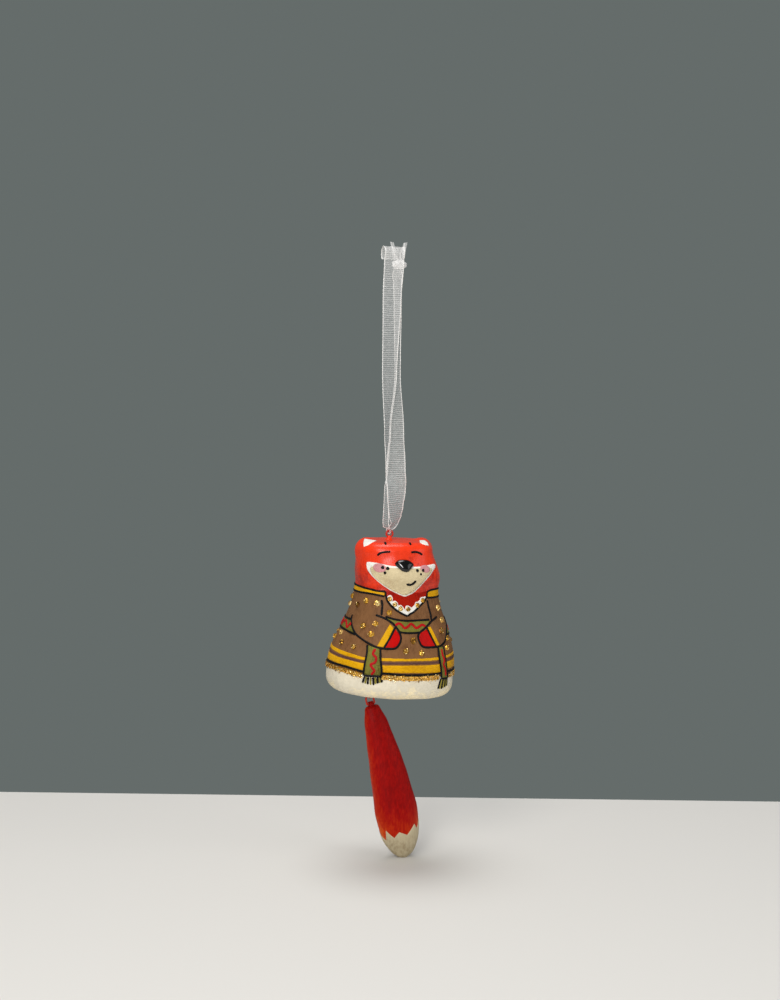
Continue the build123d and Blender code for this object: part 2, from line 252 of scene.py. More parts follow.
paints = {
    # colour, dark marks, stretch of the marks, their scale, roughness, bump; then coat, gloss and painted
    # light by height (its height and strength)
    # head: painted light on the crown and painted shade towards the neck, by height, its dark tone doubling
    # as that painted shade
    "head": ((0.72, 0.033, 0.004), (0.42, 0.012, 0.001), (1, 1, 0.55),
             700, 0.3, 0.7, 0.5, 0.08, (-0.156, 9)),
    "coat": ((0.185, 0.086, 0.034), (0.125, 0.054, 0.02), (1, 1, 0.35), 800, 0.5, 0.3),
    "yellow": ((0.63, 0.32, 0.002), (0.47, 0.21, 0.002), (1, 1, 2.5), 600, 0.42, 0.25),
    "olive": ((0.165, 0.15, 0.026), (0.07, 0.06, 0.01), (1, 1, 1), 1500, 0.5, 0.3),
    "wave": ((0.4, 0.005, 0.008), (0.28, 0.003, 0.004), (1, 1, 1), 900, 0.42, 0.2),
    "mitten": ((0.44, 0.002, 0.001), (0.34, 0.001, 0.001), (1, 1, 0.6), 700, 0.4, 0.2),
    "black": ((0.006, 0.006, 0.007), (0.003, 0.003, 0.004), (1, 1, 1), 800, 0.4, 0.2),
    "cream": ((0.58, 0.48, 0.29), (0.49, 0.38, 0.22), (1, 1, 1.6), 500, 0.45, 0.2),
    "white": ((0.78, 0.76, 0.7), (0.66, 0.62, 0.54), (1, 1, 1.2), 600, 0.45, 0.2),
    "pink": ((0.56, 0.26, 0.27), (0.46, 0.18, 0.2), (1, 1, 1.2), 500, 0.5, 0.2),
    # throat: a darker red than the head, painted shade under the chin
    "throat": ((0.34, 0.008, 0.001), (0.24, 0.004, 0.001), (1, 1, 0.8), 600, 0.42, 0.2),
    # base: its dark tone is a lighter yellow reached low down, painted light thrown up from the floor onto
    # the underside
    "base": ((0.65, 0.59, 0.46), (0.86, 0.73, 0.47), (1, 1, 1.2), 500, 0.42, 0.25, 0, 0.1, (-0.214, 26)),
    "mauve": ((0.1, 0.045, 0.04), (0.06, 0.025, 0.022), (1, 1, 2.5), 700, 0.5, 0.2),
    "fringe": ((0.3, 0.24, 0.04), (0.14, 0.12, 0.02), (1, 1, 0.4), 900, 0.5, 0.2),
}
paint = {name: brushPaint("paint_" + name, *values) for name, values in paints.items()}
goldFlakes = glitterMaterial("gold_glitter", (0.8, 0.42, 0.04), (0.13, 0.045, 0.006))
print("materials made")

# figure surface, in millimetres in the figure's own frame: turn in degrees from the front, run up its side
fox = {
    "crown": 76.5, "crownEdge": 4.6, "crownDome": 0.3, "crownRun": 13, "temple": (37.3, 35.5), "cheekZ": 60,
    "cheek": (42, 36.5), "neckZ": 54, "neck": (40.4, 35), "hemZ": 13, "hem": (64, 56), "baseEdge": 6.5,
    "baseDome": 2, "baseRun": 22, "headSquare": 2.8, "skirtSquare": 2.2, "headTurn": -6, "coatTurn": 6,
    "turnLength": 12, "snoutReach": 4, "snoutRise": 7.5, "snoutSpread": 9, "lean": 3.9, "hang": -139,
    "bellyShift": 1, "crownShift": -3.85, "crownSlope": 0.07, "bendStart": 57, "bendLength": 22,
    "eye": Vector((-5.8, 0, 80)),
    "ear": (13.7, 71.2, 5.7, 6.6, 1.7),  # out from the middle, height, radius, half height, blend
    "uneven": ((0.22, 0.11), (0.05, 0.5)),  # hand-formed unevenness: height and scale
    "turnStep": 0.7, "runStep": 0.25,  # for the slope of the skin
}
foxTop = fox["crown"] - fox["crownEdge"]
leanTurn = Matrix.Rotation(radians(fox["lean"]), 3, "Y")


def girth(h):
    flare = smooth((fox["neckZ"] - h) / (fox["neckZ"] - fox["hemZ"]))
    fill = smooth((h - fox["neckZ"]) / (fox["cheekZ"] - fox["neckZ"]))
    taper = smooth((h - fox["cheekZ"]) / (foxTop - fox["cheekZ"]))
    sizes = []
    for i in (0, 1):
        low = mix(fox["neck"][i], fox["hem"][i], flare)
        sizes.append(mix(mix(low, fox["cheek"][i], fill), fox["temple"][i], taper) / 2)
    return sizes[0], sizes[1], mix(fox["headSquare"], fox["skirtSquare"], flare)


def bendAt(h):
    return smooth((h - fox["bendStart"]) / fox["bendLength"])


def shiftAt(h):
    flare = smooth((fox["neckZ"] - h) / (fox["neckZ"] - fox["hemZ"]))
    return 4 * fox["bellyShift"] * flare * (1 - flare) + fox["crownShift"] * bendAt(h)


def barePoint(turn, run):
    h, z, inset, shrink = run, run, 0, 1
    if run > foxTop or run < fox["baseEdge"]:
        end, h, way = ("crown", foxTop, 1) if run > foxTop else ("base", fox["baseEdge"], -1)
        edge = fox[end + "Edge"]
        bend = way * (run - h) / edge
        shrink = 1 - min(max((bend - quarter) * edge / fox[end + "Run"], 0), 1)
        bend = min(bend, quarter)
        inset = edge * (1 - cos(bend))
        z = h + way * (edge * sin(bend) + fox[end + "Dome"] * (1 - shrink ** 2))
    halfWide, halfDeep, square = girth(h)
    front, side = cosSin(turn)
    x = (halfWide - inset) * shrink * copysign(abs(side) ** (2 / square), side)
    y = -(halfDeep - inset) * shrink * copysign(abs(front) ** (2 / square), front)
    if front > 0:
        rise = exp(-(((h - fox["cheekZ"]) / fox["snoutRise"]) ** 2))
        y -= fox["snoutReach"] * rise * exp(-((x / fox["snoutSpread"]) ** 2)) * front * shrink
    c, s = cosSin(mix(fox["coatTurn"], fox["headTurn"], smooth((h - fox["neckZ"]) / fox["turnLength"] + 0.5)))
    x, y = x * c - y * s, x * s + y * c
    return Vector((x + shiftAt(h), y, z + fox["crownSlope"] * bendAt(h) * x))


def skin(turn, run):
    # point and outward direction, with the ears and the unevenness
    p = barePoint(turn, run)
    du = barePoint(turn + fox["turnStep"], run) - barePoint(turn - fox["turnStep"], run)
    dv = barePoint(turn, run + fox["runStep"]) - barePoint(turn, run - fox["runStep"])
    out = du.cross(dv)
    if out.length < 1e-7:
        out = Vector((0, 0, 1 if run > fox["hemZ"] else -1))
    out.normalize()
    push = sum(high * noise(p * scale) for high, scale in fox["uneven"])
    earX, earZ, earR, earH, blend = fox["ear"]
    c, s = cosSin(fox["headTurn"])
    for side in (-1, 1):
        earRise = fox["crownSlope"] * bendAt(foxTop) * side * earX * c
        q = p - Vector((side * earX * c + shiftAt(foxTop), side * earX * s, earZ + earRise))
        inside = (1 - sqrt((q.x / earR) ** 2 + (q.y / earR) ** 2 + (q.z / earH) ** 2)) * earR
        push += 0.5 * (inside + sqrt(inside * inside + blend))
    return p + out * push, out


def toRow(p):
    return (leanTurn @ (p - fox["eye"]) + Vector((0, 0, fox["hang"]))) / 1000


def onSkin(turn, run, lift=0):
    p, out = skin(turn, run)
    return toRow(p + out * lift)


# figure body: head, coat and white base in one skin
body = {"hem": 12, "neck": 52.4, "around": 168}
baseFoot = fox["baseEdge"] * (1 - quarter)
crownTop = foxTop + fox["crownEdge"] * quarter
runStops = [  # run and the rows up to the next
    (baseFoot - fox["baseRun"], 9), (baseFoot, 9), (fox["baseEdge"], 6), (body["hem"], 44),
    (body["neck"], 22), (foxTop, 12), (crownTop, 14), (crownTop + fox["crownRun"], 0),
]
runs = [mix(a, b, i / rows) for (a, rows), (b, _) in zip(runStops, runStops[1:]) for i in range(rows)]
runs.append(runStops[-1][0])
verts, faceMats = [], []
for run in runs:
    verts += [onSkin(360 * k / body["around"], run) for k in range(body["around"])]
for a, b in zip(runs, runs[1:]):
    middle = (a + b) / 2
    faceMats += [0 if middle < body["hem"] else 1 if middle < body["neck"] else 2] * body["around"]
skinMats = [paint["base"], paint["coat"], paint["head"]]
figureSkin = addMesh("figure_skin", verts, gridFaces(len(runs), body["around"]), skinMats, faceMats)
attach(figureSkin, "figure")
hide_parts("figure_shell")
print("figure skin made")

# paint laid on the skin: pools of one colour each
pools = {}
degreeLength = 0.45  # millimetres of skin in a degree of turn, about
sunk = -0.08  # paint edges go this far under the skin


def pour(name, verts, faces):
    pool = pools.setdefault(name, ([], []))
    start = len(pool[0])
    pool[0].extend(verts)
    pool[1].extend([tuple(start + i for i in face) for face in faces])


def flow(points, step=0.5, closed=False):
    # smooth run through a few given points, about one step apart in millimetres
    n = len(points)
    out = []
    for i in range(n if closed else n - 1):
        if closed:
            p0, p1, p2, p3 = (points[(i + k) % n] for k in (-1, 0, 1, 2))
        else:
            p0, p1, p2, p3 = points[max(i - 1, 0)], points[i], points[i + 1], points[min(i + 2, n - 1)]
        far = hypot((p2[0] - p1[0]) * degreeLength, p2[1] - p1[1])
        count = max(int(far / step), 1)
        for k in range(count):
            t = k / count
            out.append(tuple(
                0.5 * (2 * b + (c - a) * t + (2 * a - 5 * b + 4 * c - d) * t * t
                       + (3 * b - a - 3 * c + d) * t ** 3)
                for a, b, c, d in zip(p0, p1, p2, p3)
            ))
    if not closed:
        out.append(points[-1])
    return out


def patch(name, outline, lift, rounded=True, step=0.8):
    # a coat of paint inside an outline, its edge turned down to the skin
    edge = flow(outline, 0.6, True) if rounded else outline
    flatEdge = [Vector((t * degreeLength, r)) for t, r in edge]
    sides = list(zip(flatEdge, flatEdge[1:] + flatEdge[:1]))
    n = len(flatEdge)
    points = list(flatEdge)
    lowX, highX = min(p.x for p in points), max(p.x for p in points)
    lowY, highY = min(p.y for p in points), max(p.y for p in points)
    y = lowY + step / 2
    odd = 0
    while y < highY:
        x = lowX + step / 2 + odd * step / 2
        while x < highX:
            hits = 0
            for a, b in sides:
                if (a.y > y) != (b.y > y) and x < a.x + (y - a.y) / (b.y - a.y) * (b.x - a.x):
                    hits += 1
            near = min(hypot(a.x - x, a.y - y) for a in flatEdge)
            if hits % 2 and near > step * 0.45:
                points.append(Vector((x, y)))
            x += step
        y += step * 0.87
        odd = 1 - odd
    cut, _, triangles, _, _, _ = delaunay_2d_cdt(points, [], [list(range(n))], 1, 1e-5)
    top = [onSkin(p.x / degreeLength, p.y, lift) for p in cut]
    rim = [onSkin(t, r, sunk) for t, r in edge]
    skirt = []
    for i in range(n):
        j = (i + 1) % n
        skirt.append((i, j, len(cut) + j, len(cut) + i))
    if sum(a.x * b.y - b.x * a.y for a, b in sides) > 0:
        skirt = [face[::-1] for face in skirt]
    pour(name, top + rim, [tuple(t) for t in triangles] + skirt)


def strip(name, upper, lower, lift, rows=4):
    # a painted band between two edges
    high, low = flow(upper, 0.8), flow(lower, 0.8)
    count = max(len(high), len(low))

    def at(line, s):
        f = s * (len(line) - 1)
        i = min(int(f), len(line) - 2)
        return [mix(a, b, f - i) for a, b in zip(line[i], line[i + 1])]

    verts = []
    for k in range(count):
        a, b = at(low, k / (count - 1)), at(high, k / (count - 1))
        wobble = 0.12 * noise(Vector((a[0] * 0.3, a[1] * 0.9, 3)))
        ends = sunk if k in (0, count - 1) else lift
        verts.append(onSkin(a[0], a[1] + wobble - 0.05, sunk))
        for i in range(rows + 1):
            verts.append(onSkin(mix(a[0], b[0], i / rows), mix(a[1], b[1], i / rows) + wobble, ends))
        verts.append(onSkin(b[0], b[1] + wobble + 0.05, sunk))
    pour(name, verts, gridFaces(count, rows + 3, False, True))


def stroke(name, points, width=1.15, high=0.3, lift=0.1, rounded=True):
    # one brushed line: a low bead with rounded ends
    profile = [(-0.5, -0.6), (-0.44, 0.35), (-0.24, 0.85), (0, 1), (0.24, 0.85), (0.44, 0.35), (0.5, -0.6)]
    sides = len(profile)
    spots = [skin(t, r) for t, r in flow(points, 0.35)]
    n = len(spots)
    verts = []
    for i, (p, out) in enumerate(spots):
        along = spots[min(i + 1, n - 1)][0] - spots[max(i - 1, 0)][0]
        side = along.cross(out).normalized()
        far = min((p - spots[0][0]).length, (p - spots[-1][0]).length)
        end = sqrt(max(1 - (1 - min(far / (width * 0.5), 1)) ** 2, 0.03)) if rounded else 1
        wide = width * end * (1 + 0.16 * noise(p * 0.7))
        for a, b in profile:
            verts.append(toRow(p + side * (a * wide) + out * (lift + b * high * end)))
    ends = [tuple(range(sides - 1, -1, -1)), tuple(range((n - 1) * sides, n * sides))]
    pour(name, verts, gridFaces(n, sides, False) + ends)


def dot(name, turn, run, radius, high=0.3, lift=0.3, sides=14):
    p, out = skin(turn, run)
    side, up = sideAndUp(out)
    verts = [toRow(p + out * (lift + high))]
    for share, rise in ((0.55, 0.8), (0.9, 0.3), (1, -0.6)):
        for k in range(sides):
            angle = fullTurn * k / sides
            wide = radius * share * (1 + 0.08 * sin(3 * angle + turn))
            verts.append(toRow(p + wheel(side, up, angle) * wide + out * (lift + high * rise)))
    pour(name, verts, domeFaces(sides))


def waves(name, points, count, swing):
    # an even wavy line between two ends
    line = flow(points, 0.4)
    bent = []
    for i, (t, r) in enumerate(line):
        s = i / (len(line) - 1)
        bent.append((t, r + swing * sin(fullTurn * count * s)))
    stroke(name, bent[::2] + bent[-1:], 1.3, 0.22, 0.3)


# turn and run of each point; cheeks also have half widths, dots a radius
face = {
    "muzzle": [(-50.5, 66.5), (-53, 65), (-50.2, 62.5), (-41.8, 59.9), (-31, 56.6), (-21, 53.9),
               (-11.2, 51.9), (-2.8, 50.6), (1.2, 52), (12.2, 55.6), (26.5, 59.8), (43, 63.3), (57, 65.3),
               (55, 66.4), (39.5, 66.3), (21.5, 65.7), (9.5, 65.5), (-7.8, 65.5), (-20.8, 66.1),
               (-33.5, 66.6)],
    "inner": [(-43, 63.8), (-42, 61.3), (-37, 59.2), (-30, 57), (-20.5, 54.5), (-11, 52.5), (-2.8, 51.2),
              (1.2, 52.6), (12, 56.2), (25.5, 60.3), (37, 62.9), (42, 64.3), (36, 65), (21.5, 64.9),
              (9.5, 64.7), (-7.8, 64.6), (-20.8, 65), (-33, 65)],
    "cheeks": [(-27.5, 64.1, 10.5, 2.3), (26.5, 64.5, 9.5, 1.75)],
    "dots": [(-22, 64.4, 0.82), (-15, 64.1, 0.82), (-19, 61.8, 0.72), (12, 63.7, 0.78), (21, 63.8, 0.78),
             (16, 62, 0.55)],
    "smile": [(0, 57.2), (1.5, 56.8), (3.5, 57.1), (7, 58.3), (8.5, 59.1)],
    "eyes": [[(-30, 70.4), (-24, 71.7), (-17, 72.3), (-9, 72.5)],
             [(10, 72.3), (17, 72.5), (24, 71.9), (29, 71)]],
    "brows": [[(-23, 79.6), (-17.5, 76.2)], [(13.5, 78.9), (11.2, 76.2)]],
    "ears": [[(-86, 77.7), (-66, 82.2), (-51, 78), (-52, 76.3), (-55, 75.2), (-64.5, 74)],
             [(74, 80.9), (78, 78.6), (54.5, 75.2), (44, 75.9), (39.5, 76.8), (39, 78.2)]],
    "line": 1.1, "smileLine": 1.45, "dotSpread": 1.12, "ovalStep": 0.524,
}
patch("white", face["muzzle"], lift=0.14)
patch("cream", face["inner"], lift=0.22)
for turn, run, wide, tall in face["cheeks"]:
    angles = [k * face["ovalStep"] for k in range(12)]
    patch("pink", [(turn + wide * cos(a), run + tall * sin(a)) for a in angles], lift=0.29)
for turn, run, radius in face["dots"]:
    dot("black", turn, run, radius * face["dotSpread"])
stroke("black", face["smile"], face["smileLine"], lift=0.25)
for points in face["eyes"] + face["brows"]:
    stroke("black", points, face["line"])
for points in face["ears"]:
    patch("white", points, lift=0.14, rounded=False)
print("face painted")

collar = {
    "upper": [(24, 53.2), (37, 54.1), (61, 54.3), (110, 54), (180, 53.8), (240, 53.3), (260, 52.9),
              (281, 52.9), (305, 52.7), (320, 52.3), (334, 52.4)],
    "lower": [(21, 50.2), (32, 50.2), (51, 50.4), (110, 50.6), (180, 50.6), (240, 50.3), (263, 50),
              (290, 50.5), (310, 50.5), (330, 50)],
    "neckL": [(-27.4, 50.2), (-26.5, 48.3), (-21.5, 46.1), (-15.2, 44.2), (-8, 42.3), (-2.2, 41)],
    "neckR": [(-2.2, 41), (1.2, 43), (8.2, 46.1), (16.5, 49), (20.5, 50.8)],
    "insideL": [(-26.5, 50.2), (-24, 49.6), (-17.8, 47.8), (-11.2, 46.3), (-6.2, 45), (-2, 43.7)],
    "insideR": [(-2, 43.7), (0.5, 45.3), (3.5, 47), (9, 49.2), (18, 51)],
    "throat": [(-30, 53), (-28, 50), (-25, 48.2), (-17, 46), (-9.5, 44.2), (-3, 42.6), (1, 44.8), (8, 47.6),
               (19, 50.2), (24, 53.4)],
    "drops": [(-22.5, 48.9), (-15.5, 46.4), (-8.5, 44.4), (-1.5, 44.4), (5.5, 46.4), (12.5, 48.9)],
    "ends": [[(334, 52.4), (332.5, 51.3), (331.5, 50)], [(24, 53.2), (22, 51.6), (20.5, 50)]],
    "line": 1.1, "point": (-2.1, 42.4, 1.2), "scallop": 1.6, "scallopUp": 0.35,
}
# neck opening in darker red: painted shade under the chin
patch("throat", collar["throat"], lift=0.1, rounded=False)
for side in "LR":
    strip("white", collar["inside" + side], collar["neck" + side], lift=0.18, rows=3)
dot("white", *collar["point"], high=0.06, lift=0.12)
for turn, run in collar["drops"]:
    dot("white", turn, run + collar["scallopUp"], collar["scallop"], high=0.1, lift=0.14)
strip("yellow", collar["upper"], collar["lower"], lift=0.16)
stroke("black", collar["upper"], collar["line"])
stroke("black", collar["lower"], collar["line"])
for points in collar["ends"] + [collar["neckL"], collar["neckR"]]:
    stroke("black", points)
print("collar painted")

coat = {
    "sleeves": [[(-36, 48.2), (-34, 45.8), (-34, 43.5), (-34, 40.8)],
                [(20, 49), (21, 45.4), (22, 41.9), (21, 39.3)]],
    "belt": [(-28, 40.4), (-16, 39.3), (-4, 38.8), (5, 39.2), (18.5, 39.5), (15, 37), (10, 35.3), (5, 33.6),
             (-2, 33.1), (-12, 33.4), (-14, 35.3), (-19, 37.5)],
    "beltWave": [(-16, 36.2), (-12.2, 37.4), (-9, 36.9), (-6, 35.4), (-3, 36.1), (-0.5, 37.4), (1.8, 35.6),
                 (4.8, 36.2), (7.8, 37.1), (12, 36.4)],
    "beltFoot": [(-12, 33.4), (-2, 33.1), (5, 33.6)],
    "backUpper": [(274, 36.4), (256, 36.2), (180, 36.8), (110, 37), (74, 37), (63, 37.1)],
    "backLower": [(294, 30.1), (273, 30.9), (258, 31.2), (180, 31.8), (110, 32), (70, 32), (46, 31.9)],
    "backWave": [(278, 33.4), (258, 33.7), (180, 34.3), (80, 34.5), (67, 34.6)],
    "armL": [(-88, 38.6), (-86, 36.3), (-78, 33.3), (-67, 30.6), (-55, 28.7), (-42, 26.7), (-33, 25.5),
             (-25, 25.3), (-16, 25.6), (-12, 27.4), (-10, 30.3), (-11, 32.8), (-14, 35.3), (-19, 37.5),
             (-29, 39.5), (-43, 40.7)],
    "armR": [(34, 40.9), (27, 39.8), (20, 38.5), (10, 35.3), (4, 32.8), (4, 29.9), (7, 27.1), (13, 26.5),
             (28, 26.9), (37, 28.4), (44, 31), (51, 33.7), (58, 35.6), (66, 38), (70, 40.2)],
    "cuffs": [[(-22, 36.9), (-17.5, 35.2), (-26.5, 25.9), (-34, 26.2)],
              [(13.5, 35.7), (18, 36.3), (28, 27.5), (22.5, 27.1)]],
    "mittens": [[(-16, 35), (-12, 32.5), (-10, 30), (-12.5, 27.4), (-16, 26), (-26, 25.8)],
                [(12.5, 34.9), (6, 33.3), (4, 30.8), (6, 27.9), (11, 26.7), (22, 26.8)]],
    "wrists": [[(-15.5, 35.6), (-21, 30.6), (-26.5, 25.6)], [(13, 35.9), (17.5, 31.3), (22.8, 26.7)]],
}
for points in coat["sleeves"] + coat["wrists"] + [coat["armL"], coat["armR"]]:
    stroke("black", points)
patch("olive", coat["belt"], lift=0.14, rounded=False)
stroke("wave", coat["beltWave"], 1.3, high=0.2, lift=0.2)
stroke("black", coat["belt"][:5])
stroke("black", coat["beltFoot"], 1.1)
strip("olive", coat["backUpper"], coat["backLower"], lift=0.14)
waves("wave", coat["backWave"], count=16, swing=1.3)
stroke("black", coat["backUpper"])
stroke("black", coat["backLower"])
for points in coat["cuffs"]:
    patch("yellow", points, lift=0.16, rounded=False)
for points in coat["mittens"]:
    patch("mitten", points, lift=0.16, rounded=False)
print("coat painted")

hem = {
    "turns": (-112, -68, -43, -26, -2, 25, 37, 57, 100, 180, 248.7),
    "thin": ((22, 20.6), (21.3, 19.6), (20.2, 19), (20.8, 19.4), (21, 19.9), (21.6, 20.3), (22, 20.9),
             (22.8, 21.6), (23.2, 21.9), (22.8, 21.4), (22, 20.6)),
    "thick": ((18.2, 14.9), (17.9, 15.1), (17.3, 14), (17.3, 13.9), (17.8, 14.2), (18.1, 14.2),
              (18.8, 15.3), (19.4, 15.7), (19.8, 16.2), (19.2, 15.7), (18.2, 14.9)),
    "line": (13.9, 14.5, 13.3, 13.5, 13.1, 13.6, 14, 14.2, 14.8, 14.6, 13.9),
    "gold": (12, 12.4, 11.4, 11.5, 11.4, 11.7, 12, 12.2, 12.8, 12.7, 12),
    "breaks": ((-45, -25), (28.5, 43)),
}
for key in ("thin", "thick"):
    upper, lower = ([(t, r[i]) for t, r in zip(hem["turns"], hem[key])] for i in (0, 1))
    strip("yellow", upper, lower, lift=0.16)
between = [(t, (a[1] + b[0]) / 2) for t, a, b in zip(hem["turns"], hem["thin"], hem["thick"])]
stroke("mauve", between, 0.8, high=0.12, lift=0.08, rounded=False)
stroke("black", list(zip(hem["turns"], hem["line"])), rounded=False)
sashes = [
    {
        "left": [(-45, 26.3), (-43, 22.3), (-43, 17), (-43, 11.6)],
        "right": [(-30, 25.1), (-28, 19.5), (-26, 14.9), (-26, 11.9)],
        "wave": [(-35, 24.8), (-36.5, 22.4), (-32.8, 20.6), (-33.2, 18.4), (-36.8, 17.2), (-34.8, 15.6),
                 (-32.8, 14.4), (-35.5, 12.3)],
        "fringe": [[(-42, 11.2), (-43.5, 7.8)], [(-38.2, 11), (-38.2, 7.4)], [(-33.5, 11.2), (-32.5, 7.3)],
                   [(-29.4, 11.4), (-28.6, 8.3)], [(-26, 11.7), (-24.8, 8.9)]],
    },
    {
        "left": [(25, 26.4), (26, 22.3), (29, 16.3), (31, 10.9)],
        "right": [(33, 26.7), (35, 22), (38, 15.9), (41, 10.7)],
        "wave": [(29.5, 25.5), (31, 22.5), (33.6, 19.9), (32.4, 17.9), (35.4, 15.4), (37, 12.2)],
        "fringe": [[(30.5, 10.9), (27.5, 5.8)], [(34, 10.6), (32.8, 5.6)], [(37.5, 10.5), (38, 6.3)],
                   [(41, 10.7), (41.4, 6.8)]],
    },
]
for sash in sashes:
    strip("olive", sash["right"], sash["left"], lift=0.48)
    stroke("wave", sash["wave"], 1.3, high=0.2, lift=0.5)
    for points in (sash["left"], sash["right"], [sash["left"][-1], sash["right"][-1]]):
        stroke("black", points, lift=0.4)
    ends = sash["fringe"]
    for points in ends:
        stroke("black", points, 1.1, high=0.25, lift=0.14)
    for a, b in zip(ends, ends[1:]):
        stroke("fringe", [[(p + q) / 2 for p, q in zip(u, v)] for u, v in zip(a, b)], 1, high=0.2)
print("hem painted")

for name, (verts, faces) in pools.items():
    coatOfPaint = addMesh("paint_" + name, verts, faces, [paint[name]])
    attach(coatOfPaint, "figure")

# nose: a domed three-cornered lump
nose = {
    "edge": [(-6, 66.6), (-2.5, 68.4), (1.5, 68.9), (6, 68.3), (9.5, 66.6), (5.8, 64.7), (1.7, 62.9),
             (-0.4, 62.9), (-3, 64.3)],
    "middle": (1.4, 66.3), "proud": 2.1, "rings": 9, "foot": -0.1,
}
edge = flow(nose["edge"], 0.35, True)
verts = [onSkin(*nose["middle"], nose["proud"])]
for i in range(1, nose["rings"] + 1):
    s = i / nose["rings"]
    lift = nose["proud"] * (1 - s ** 2) ** 0.5 if s < 1 else nose["foot"]
    verts += [onSkin(mix(nose["middle"][0], t, s), mix(nose["middle"][1], r, s), lift) for t, r in edge]
n = len(edge)
faces = [(0, 1 + (k + 1) % n, 1 + k) for k in range(n)] + gridFaces(nose["rings"], n, start=1)
noseMat = brushPaint("nose_gloss", (0.002,) * 3, (0.001,) * 3, (1, 1, 1), 500, 0.22, 0.08, 1, 0.03,
                     coatRough=0.1)
nosePiece = addMesh("nose_lump", verts, faces, [noseMat])
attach(nosePiece, "figure")
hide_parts("nose")
print("nose made")

# raised gold glitter: beds of glue with loose flakes
gold = {
    "front": [(-108, 46.8), (-108, 43), (-84, 43.9), (-66, 46.8), (-42.5, 46.3), (-23, 42.3), (-59, 34.7),
              (-41, 36.5), (-44, 31.4), (-93, 29), (-107, 26), (-83, 25), (-61.5, 24.4), (0, 29.5),
              (-5.5, 24.5), (6.5, 23.8), (43, 44.9), (45, 39.1), (35, 33.9), (45.5, 30.2), (41.5, 25.6)],
    "back": [(46.5, 82, 230), (41, 98, 214), (27.5, 80, 232)],  # run, first and last turn of five drops
    "radius": 1.5, "small": 1.25, "sides": 11, "dome": 0.72, "dropFlakes": 26, "hemFlakes": 3600,
    "spin": 6.28,
    "bead": ((-1, -0.1), (-0.8, 0.28), (-0.3, 0.48), (0.3, 0.48), (0.8, 0.28), (1, -0.1)), "beadWide": 1.2,
}


def flake(verts, faces, spot, out, size):
    side = out.orthogonal().normalized()
    side.rotate(Matrix.Rotation(rng.uniform(0, gold["spin"]), 3, out))
    up = out.cross(side)
    tilt = Matrix.Rotation(rng.uniform(-0.9, 0.9), 3, side) @ Matrix.Rotation(rng.uniform(-0.6, 0.6), 3, up)
    start = len(verts)
    count = rng.choice((4, 5, 6))
    for k in range(count):
        verts.append(toRow(spot + tilt @ wheel(side, up, fullTurn * k / count) * size))
    faces.append(tuple(range(start, start + count)))


def glitterDrop(verts, faces, turn, run, radius):
    p, out = skin(turn, run)
    side, up = sideAndUp(out)
    start = len(verts)
    verts.append(toRow(p + out * radius * gold["dome"]))
    for share, rise in ((0.5, 0.62), (0.85, 0.34), (1.02, -0.1)):
        for k in range(gold["sides"]):
            aside = wheel(side, up, fullTurn * k / gold["sides"])
            wide = radius * share * (1 + rng.uniform(-0.12, 0.12))
            verts.append(toRow(p + aside * wide + out * radius * rise * rng.uniform(0.85, 1.1)))
    faces += domeFaces(gold["sides"], start)
    for _ in range(gold["dropFlakes"]):
        angle, reach = rng.uniform(0, gold["spin"]), sqrt(rng.random()) * 0.95
        aside = wheel(side, up, angle)
        dome = gold["dome"] * sqrt(max(1 - reach * reach, 0)) + 0.06
        spot = p + aside * radius * reach + out * radius * dome
        lean = (out + aside * reach * 0.9).normalized()
        flake(verts, faces, spot, lean, rng.uniform(0.2, 0.34))


verts, faces = [], []
for turn, run in gold["front"]:
    glitterDrop(verts, faces, turn, run, gold["radius"] * rng.uniform(0.9, 1.12))
for run, first, last in gold["back"]:
    for k in range(5):
        glitterDrop(verts, faces, mix(first, last, k / 4), run, gold["radius"] * rng.uniform(0.88, 1.1))
coatDrops = addMesh("glitter_coat_drops", verts, faces, [goldFlakes], flat=True)
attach(coatDrops, "figure")
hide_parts("coat_drops")
verts, faces = [], []
for turn, run in collar["drops"]:
    glitterDrop(verts, faces, turn, run, gold["small"])
collarDrops = addMesh("glitter_collar_drops", verts, faces, [goldFlakes], flat=True)
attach(collarDrops, "figure")
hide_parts("collar_drops")

goldLine = flow(list(zip(hem["turns"], hem["gold"])), 0.6)
goldLine = [p for p in goldLine if not any(a < p[0] < b for a, b in hem["breaks"])]
verts, faces = [], []
for turn, run in goldLine:
    wide = gold["beadWide"] * (1 + 0.25 * noise(Vector((turn * 0.4, 0, 5))))
    verts += [onSkin(turn, run + a * wide, b) for a, b in gold["bead"]]
beadSides = len(gold["bead"])
for i in range(len(goldLine) - 1):
    if goldLine[i + 1][0] - goldLine[i][0] <= 5:  # no band under the sashes
        faces += gridFaces(2, beadSides, False, True, i * beadSides)
for _ in range(gold["hemFlakes"]):
    turn, run = goldLine[rng.randrange(len(goldLine))]
    run += rng.gauss(0, 0.62)
    p, out = skin(turn + rng.uniform(-0.7, 0.7), run)
    flake(verts, faces, p + out * rng.uniform(0.3, 0.62), out, rng.uniform(0.2, 0.36))
hemBand = addMesh("glitter_hem", verts, faces, [goldFlakes], flat=True)
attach(hemBand, "figure")
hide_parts("hem_glitter")
print("glitter made")

